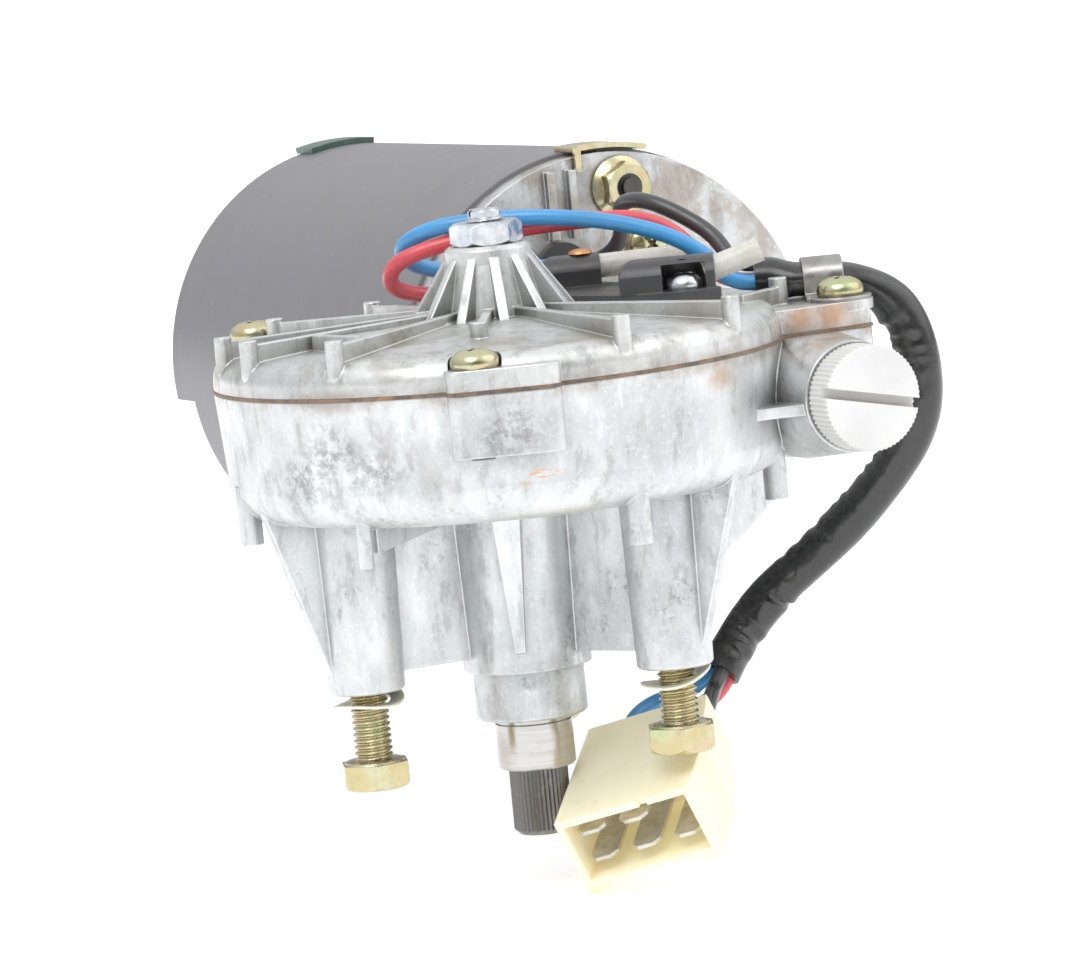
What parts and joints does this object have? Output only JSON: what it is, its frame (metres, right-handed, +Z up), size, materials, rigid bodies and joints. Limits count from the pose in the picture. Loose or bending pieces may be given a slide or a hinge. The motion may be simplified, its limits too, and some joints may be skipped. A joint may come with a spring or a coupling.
{
  "type": "worm gear motor",
  "caption": "Permanent-magnet electric motor with a right-angle worm gearbox, a splined output shaft below, a park switch and a plugged cable.",
  "frame": {"origin": "on the output shaft's axis, in the plane of the three mounting bosses' faces", "axes": "+Z up along the output shaft's axis, from the shaft's free end towards the gear cover; +Y parallel to the motor's axis, towards the motor's rear; +X from the output shaft towards the motor's axis"},
  "size_m": [0.1629, 0.2585, 0.1482],
  "materials": {
    "cast_aluminium": "as-cast, matt",
    "gasket_paper": "oily brown sheet",
    "yellow_zinc": "yellow passivated zinc",
    "white_zinc": "bright zinc",
    "dark_steel": "oiled, dark",
    "ground_steel": "ground",
    "can_paint": "satin dark grey",
    "green_steel": "dark green-grey",
    "magnet": "matt",
    "lamination": "satin",
    "copper": "satin",
    "bronze": "satin",
    "tinned": "dull tin",
    "laminate": "brown laminate",
    "carbon": "matt",
    "spring_steel": "bright",
    "white_plastic": "matt",
    "black_plastic": "satin",
    "nylon": "natural, slightly clear",
    "clear_sleeve": "milky",
    "black_rubber": "matt",
    "seal_rubber": "matt",
    "sleeve_vinyl": "gloss",
    "wire_blue": "gloss",
    "wire_red": "gloss",
    "wire_black": "gloss",
    "orange_rivet": "satin"
  },
  "bodies": {
    "frame": {"gear_housing": "cast_aluminium", "gear_cover": "cast_aluminium", "cover_gasket": "gasket_paper", "cover_screws": "yellow_zinc", "motor_can": "can_paint", "rear_end_cap": "can_paint", "can_clip_front": "yellow_zinc", "can_clip_rear": "green_steel", "field_magnets": "magnet", "through_bolts": "dark_steel", "flange_nuts": "yellow_zinc", "flange_screws": "yellow_zinc", "brush_plate": "laminate", "brush_boxes": "bronze", "carbon_brushes": "carbon", "brush_springs": "spring_steel", "bearing_outer_race": "ground_steel", "front_bush": "bronze", "rear_bush": "bronze", "thrust_ball": "ground_steel", "thrust_pad": "white_plastic", "worm_end_plug": "white_plastic", "output_bush_lower": "bronze", "output_bush_upper": "bronze", "output_seal": "seal_rubber", "thrust_washer": "ground_steel", "adjuster_stud": "white_zinc", "lock_nut": "white_zinc", "mounting_bolts": "yellow_zinc", "spring_washers": "white_zinc", "park_switch": "black_plastic", "park_switch_screw": "white_zinc", "contact_fingers": "copper", "terminal_rivet": "orange_rivet", "terminal_sleeves": "clear_sleeve", "lead_grommet": "black_rubber", "cable_clamp": "white_zinc", "cable_sleeve": "sleeve_vinyl", "lead_blue": "wire_blue", "lead_red": "wire_red", "lead_black": "wire_black", "tail_blue": "wire_blue", "tail_red": "wire_red", "tail_black": "wire_black", "connector_housing": "nylon", "connector_blades": "tinned"},
    "output": {"output_shaft": "ground_steel", "wheel_hub": "dark_steel", "worm_wheel": "bronze", "contact_disc": "copper", "retaining_ring": "dark_steel"},
    "armature": {"armature_shaft": "ground_steel", "lamination_stack": "lamination", "armature_windings": "copper", "commutator": "copper", "bearing_inner_race": "ground_steel", "bearing_balls": "ground_steel"}
  },
  "joints": [
    {"name": "output_spin", "type": "hinge", "parent": "frame", "child": "output", "pos_m": [0, 0, 0], "axis": [0, 0, 1], "continuous": true},
    {"name": "armature_spin", "type": "hinge", "parent": "frame", "child": "armature", "pos_m": [0.055, 0, 0.0508], "axis": [0, 1, 0], "continuous": true}
  ],
  "couplings": [
    {"joint": "armature_spin", "follows": "output_spin", "ratio": -64}
  ]
}
